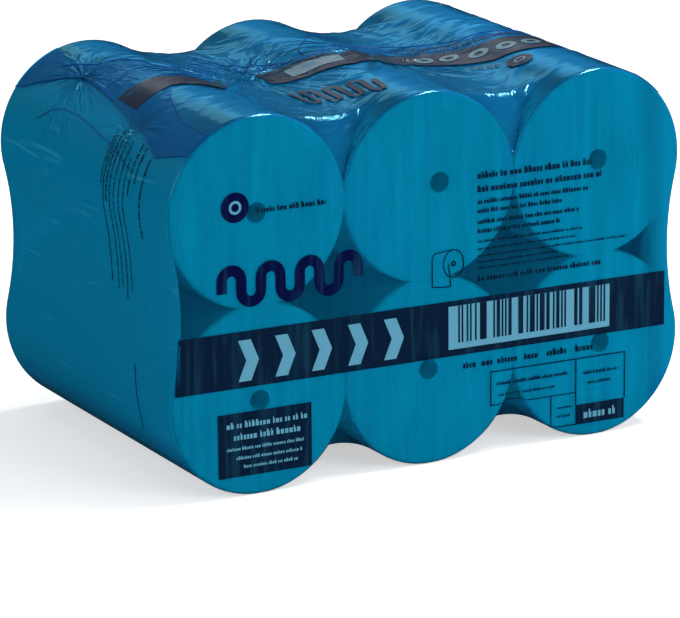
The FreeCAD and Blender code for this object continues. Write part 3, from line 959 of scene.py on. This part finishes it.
def ringShape(name, x, z, inner, outer):
    bpy.ops.object.select_all(action='DESELECT')
    bpy.ops.mesh.primitive_circle_add(vertices=40, radius=outer, fill_type='NOTHING', location=(0, 0, 0))
    piece = bpy.context.object
    piece.name = name
    setMode('EDIT')
    reached = outer
    for share in (0.66, 0.33, 0.0):
        wanted = max(inner + (outer - inner) * share, outer * 0.01)
        bpy.ops.mesh.extrude_edges_move()
        bpy.ops.transform.resize(value=(wanted / reached,) * 3, center_override=(0, 0, 0))
        reached = wanted
    setMode('OBJECT')
    points = readPoints(piece.data)
    writePoints(piece.data, points + (x, z, 0))
    return piece


def waveRibbon(left, pitch, bars, middle, straight, thickness):
    # upright bars joined in turn by round bends above and below
    line = []
    for bar in range(bars):
        x, side = left + bar * pitch, 1 - 2 * (bar % 2)
        line += [(x, middle + side * straight * share) for share in (-0.5, 0.0, 0.5)]
        if bar < bars - 1:
            for angle in np.radians(np.linspace(162, 18, 9)):
                line.append((x + pitch / 2 + pitch / 2 * math.cos(angle),
                             middle + side * (straight / 2 + pitch / 2 * math.sin(angle))))
    return outlineStroke("wave", line, thickness)


def chevronShape(x, middle, height, thickness):
    piece, points = blankGrid("chevron", 2, 8)
    for row in range(9):
        up = (row / 8 - 0.5) * height
        tip = (0.5 - abs(up) / height) * height * 0.42
        for column in range(3):
            points[row, column] = (x + tip + thickness * 1.25 * (column / 2 - 0.5), middle + up, 0)
    writePoints(piece.data, points.reshape(-1, 3))
    return piece


def outlineStroke(name, line, thickness):
    # a drawn line of even thickness
    line = np.array(line, dtype=float)
    count = len(line)
    piece, points = blankGrid(name, count - 1, 1)
    ahead = np.gradient(line, axis=0)
    ahead /= np.hypot(ahead[:, 0], ahead[:, 1])[:, None]
    side = np.stack([-ahead[:, 1], ahead[:, 0]], axis=1) * thickness / 2
    points[0, :, :2] = line - side
    points[1, :, :2] = line + side
    points[:, :, 2] = 0
    writePoints(piece.data, points.reshape(-1, 3))
    return piece


def rollSign(x, z, width, thickness):
    # a plain drawing of a roll with its sheet hanging down
    radius = width * 0.42
    left, fold, foot = x - width * 0.35, x - width * 0.42, z - radius * 1.5
    right, hang = x + width * 0.2, z - radius * 1.62
    circle = [(x + width * 0.3 + radius * 0.8 * math.cos(a), z + radius * math.sin(a))
              for a in np.linspace(0, 2 * math.pi, 33)]
    top = [(left + share * width * 0.65, z + radius * (0.86 + 0.14 * math.sin(share * math.pi / 2)))
           for share in np.linspace(0, 1, 9)]
    sheet = [(left, z + radius * 0.86), (fold, z + radius * 0.5), (fold, foot)]
    hem = [(fold, foot), (x, hang), (right, hang)]
    fall = [(right, hang), (x + width * 0.18, z - radius * 0.9), (x + width * 0.12, z)]
    strokes = [outlineStroke("sign", line, thickness) for line in (circle, top, sheet, hem, fall)]
    strokes.append(ringShape("sign", x + width * 0.3, z, 0.9, 2.2))
    return strokes


# Flexographic ink on film: thin, flat and a little shiny, creased with the film, with painted sheen in
# lighter patches where its pleats catch the light
inks = {
    "roughness": 0.25,
    "indexOfRefraction": 1.4,
    "creased": 0.4,
    "pleatSheenHex": "#2f86a8",
    "pleatSheenShare": 0.14,
    # name, colour and shine of each ink
    "navy": ("flexoInkNavy", "#031d38", 0.25),
    "blue": ("flexoInkDeepBlue", "#030a3e", 0.15),
    "pale": ("flexoInkPaleBlue", "#5ea3c0", 0.4),
    # painted shade: the pale ink again, drawn darker and greyer for the top
    "grey": ("flexoInkPaleShaded", "#5f7f90", 0.25),
}


def inkMaterial(values, name, hexCode, sheen):
    material, tree = newMaterial(name)
    fanned, soft = filmCreases(tree, polyethylene)
    bent = addNode(tree, "Bump", {
        "Strength": values["creased"], "Distance": polyethylene["knotDepth"], "Height": fanned}).outputs[0]
    # painted sheen: the ink is lightened in patches, as its pleats catch the light
    pleatSheen = addNode(tree, "MapRange", {
        "Value": soft, "From Min": 0.5, "From Max": 0.75, "To Max": values["pleatSheenShare"]})
    colour = addNode(tree, "Mix", {
        0: pleatSheen, 6: hexColour(hexCode), 7: hexColour(values["pleatSheenHex"])}, data_type='RGBA')
    base = addNode(tree, "BsdfPrincipled", {
        "Base Color": colour.outputs[2], "Roughness": values["roughness"],
        "IOR": values["indexOfRefraction"], "Specular IOR Level": sheen, "Normal": bent})
    addNode(tree, "OutputMaterial", {"Surface": base})
    return material


navyInk, blueInk, paleInk, paleInkShaded = [inkMaterial(inks, *inks[ink])
                                       for ink in ("navy", "blue", "pale", "grey")]


def standOnFront(pieces, name, values, lift, material):
    joined = joinPieces(name, pieces, material)
    points = readPoints(joined.data)
    across, up = points[:, 0] * 0.001, points[:, 1] * 0.001
    inFront = np.full(len(points), values["planeY"] - lift)
    upright = np.stack([across, inFront, up + values["lean"] * across], 1)
    writePoints(joined.data, upright)
    layOnFilm(joined, lift)


def makeFrontPrint(values):
    random = np.random.default_rng(values["seed"])
    navy = [flatField("field", field[:2], field[2:], values["fieldCell"]) for field in values["fields"]]
    navy += [flatField("rule", rule[:2], rule[2:], values["fieldCell"]) for rule in values["rules"]]
    navy += [dashRow(*row, random) for row in values["rows"]]
    deep = [ringShape("disc", *disc) for disc in values["discs"]]
    deep.append(waveRibbon(*values["wave"]))
    navy += rollSign(*values["rollSign"])
    pale = [dashRow(*row, random) for row in values["paleRows"]]
    pale += [ringShape("ring", *disc) for disc in values["paleDiscs"]]
    first, last, middle, height, thickness, count = values["chevrons"]
    pale += [chevronShape(x, middle, height, thickness) for x in np.linspace(first, last, count)]
    pale.append(flatField("window", values["window"][:2], values["window"][2:], values["fieldCell"]))
    left, foot, right, top, count = values["windowBars"]
    bars = flatField("bars", (left, foot), (right, top), (right - left) / count)
    rows = len(bars.data.polygons) // count
    dropFaces(bars, np.tile(random.random(count) < 0.5, rows))
    standOnFront(navy, "frontPrintNavy", values, values["lift"], navyInk)
    standOnFront(deep, "frontPrintBlue", values, values["lift"], blueInk)
    standOnFront(pale, "frontPrintPale", values, values["paleLift"], paleInk)
    standOnFront([bars], "frontPrintBars", values, values["barLift"], navyInk)


makeFrontPrint(printFront)
print("front printed")

# The same kind of print over the top, drawn in and bent where the film is gathered: places seen
# from above, in mm
printTop = {
    "seed": 9,
    "lift": 0.0010,
    "paleLift": 0.0013,
    "cell": 2.0,
    # the band: its back edge and its front edge
    "bands": (
        (((-189, -2), (-172, -1), (-157, 0), (-140, -8), (-122, -18)),
         ((-191, -38), (-174, -34), (-157, -30), (-142, -38), (-124, -50))),
        (((-122, -18), (-112, -8), (-104, 0)), ((-124, -50), (-114, -38), (-107, -24))),
        (((-62, 17), (-36, 10), (3, -2), (30, 10), (46, 18), (62, 22)),
         ((-64, -15), (-38, -24), (-4, -38), (34, -26), (48, -20), (62, -10))),
        (((62, 22), (88, 12), (121, -14), (146, -19), (168, -20)),
         ((62, -12), (84, -26), (112, -52), (142, -62), (173, -66))),
    ),
    # the wave in a unit square, as on the front, and the four corners that the square is laid to
    "wave": (0.06, 0.126, 8, 0.5, 0.45, 0.065),
    "waveCorners": ((-70, -24), (-10, -76), (-17, -126), (-70, -96)),
    "disc": (121, -76, 0.0, 10.0),
    "paleRing": (121, -76, 3.0, 4.6),
    # rows of dashes: both ends, height
    "rows": (((92, -50), (109, -66), 4.5), ((70, 34), (120, -2), 5.0), ((122, -3), (166, -8), 5.0),
             ((72, 46), (118, 8), 3.0), ((-54, 26), (-28, 18), 3.0)),
    "paleWindow": (((-44, 4), (-20, -2), (-2, -8)), ((-45, -14), (-22, -20), (-6, -26))),
    # pale shapes on the band's right part
    "paleMarks": ((76, -4, 8), (94, -13, 8), (112, -28, 8), (131, -38, 8), (151, -42, 8)),
}


def bentStrip(name, back, front, cell):
    # a strip between two lines seen from above
    length = np.hypot(*np.diff(np.array(back, dtype=float), axis=0).T).sum()
    width = np.hypot(back[0][0] - front[0][0], back[0][1] - front[0][1])
    columns, rows = max(4, round(length / cell)), max(2, round(width / cell))
    piece, points = blankGrid(name, columns, rows)
    share = np.linspace(0, 1, columns + 1)
    first, last = alongLine(front, share), alongLine(back, share)
    for row in range(rows + 1):
        points[row, :, :2] = first * (1 - row / rows) + last * row / rows
    points[:, :, 2] = 0
    writePoints(piece.data, points.reshape(-1, 3))
    return piece


def slantedRow(start, end, height, random):
    # a row of dashes laid along a line
    start, end = np.array(start, dtype=float), np.array(end, dtype=float)
    length = np.hypot(*(end - start))
    along = (end - start) / length
    side = np.array([-along[1], along[0]])
    piece = dashRow(0.0, length, -height / 2, height, 0.1, random)
    points = readPoints(piece.data)
    flat = start + points[:, :1] * along + points[:, 1:2] * side
    writePoints(piece.data, np.column_stack([flat, np.zeros(len(flat))]))
    return piece


def waveOnQuad(corners):
    # the wave drawn in a four-sided place
    piece = waveRibbon(*printTop["wave"])
    points = readPoints(piece.data)
    a, b, c, d = [np.array(corner, dtype=float) for corner in corners]
    s, t = points[:, :1], points[:, 1:2]
    flat = (a * (1 - s) + b * s) * (1 - t) + (d * (1 - s) + c * s) * t
    writePoints(piece.data, np.column_stack([flat, np.zeros(len(flat))]))
    return piece


def layOnTop(pieces, name, lift, material):
    joined = joinPieces(name, pieces, material)
    points = readPoints(joined.data) * 0.001
    points[:, 2] = folds["dropFrom"]
    writePoints(joined.data, points)
    dropOnFilm(joined, "z", False)
    layOnFilm(joined, lift)


def makeTopPrint(values):
    random = np.random.default_rng(values["seed"])
    navy = [bentStrip("band", back, front, values["cell"]) for back, front in values["bands"]]
    navy.append(waveOnQuad(values["waveCorners"]))
    navy.append(ringShape("disc", *values["disc"]))
    navy += [slantedRow(start, end, height, random) for start, end, height in values["rows"]]
    pale = [bentStrip("window", *values["paleWindow"], values["cell"]),
            ringShape("ring", *values["paleRing"])]
    pale += [ringShape("mark", x, y, size * 0.45, size) for x, y, size in values["paleMarks"]]
    layOnTop(navy, "topPrintNavy", values["lift"], navyInk)
    # painted shade: the top's pale marks use a darker, greyer copy of the pale ink
    layOnTop(pale, "topPrintPale", values["paleLift"], paleInkShaded)


makeTopPrint(printTop)
print("top printed")

# Small print down the pack's left end, in mm: rows of dashes that stand upright
printEnd = {
    "seed": 3,
    "lift": 0.0004,
    # depth, foot, top and height of each row
    "columns": ((-39, 150, 262, 2.4), (-50, 146, 262, 2.2), (-57, 150, 260, 2.0), (-65, 142, 262, 2.4),
                (-73, 150, 252, 2.2), (-100, 198, 256, 3.6), (-35, 226, 264, 2.6), (-44, 214, 266, 3.0),
                (-80, 226, 264, 3.0), (-88, 236, 262, 2.6)),
}


def makeEndPrint(values):
    random = np.random.default_rng(values["seed"])
    rows = []
    for depth, foot, top, height in values["columns"]:
        piece = dashRow(foot, top, 0.0, height, 0.1, random)
        points = readPoints(piece.data) * 0.001
        beside = np.full(len(points), folds["besideFrom"])
        upright = np.column_stack([beside, depth * 0.001 - points[:, 1], points[:, 0]])
        writePoints(piece.data, upright)
        rows.append(piece)
    joined = joinPieces("endPrintNavy", rows, navyInk)
    dropOnFilm(joined, "x", True)
    layOnFilm(joined, values["lift"])


makeEndPrint(printEnd)
print("end printed")

scene.view_settings.view_transform = 'Standard'
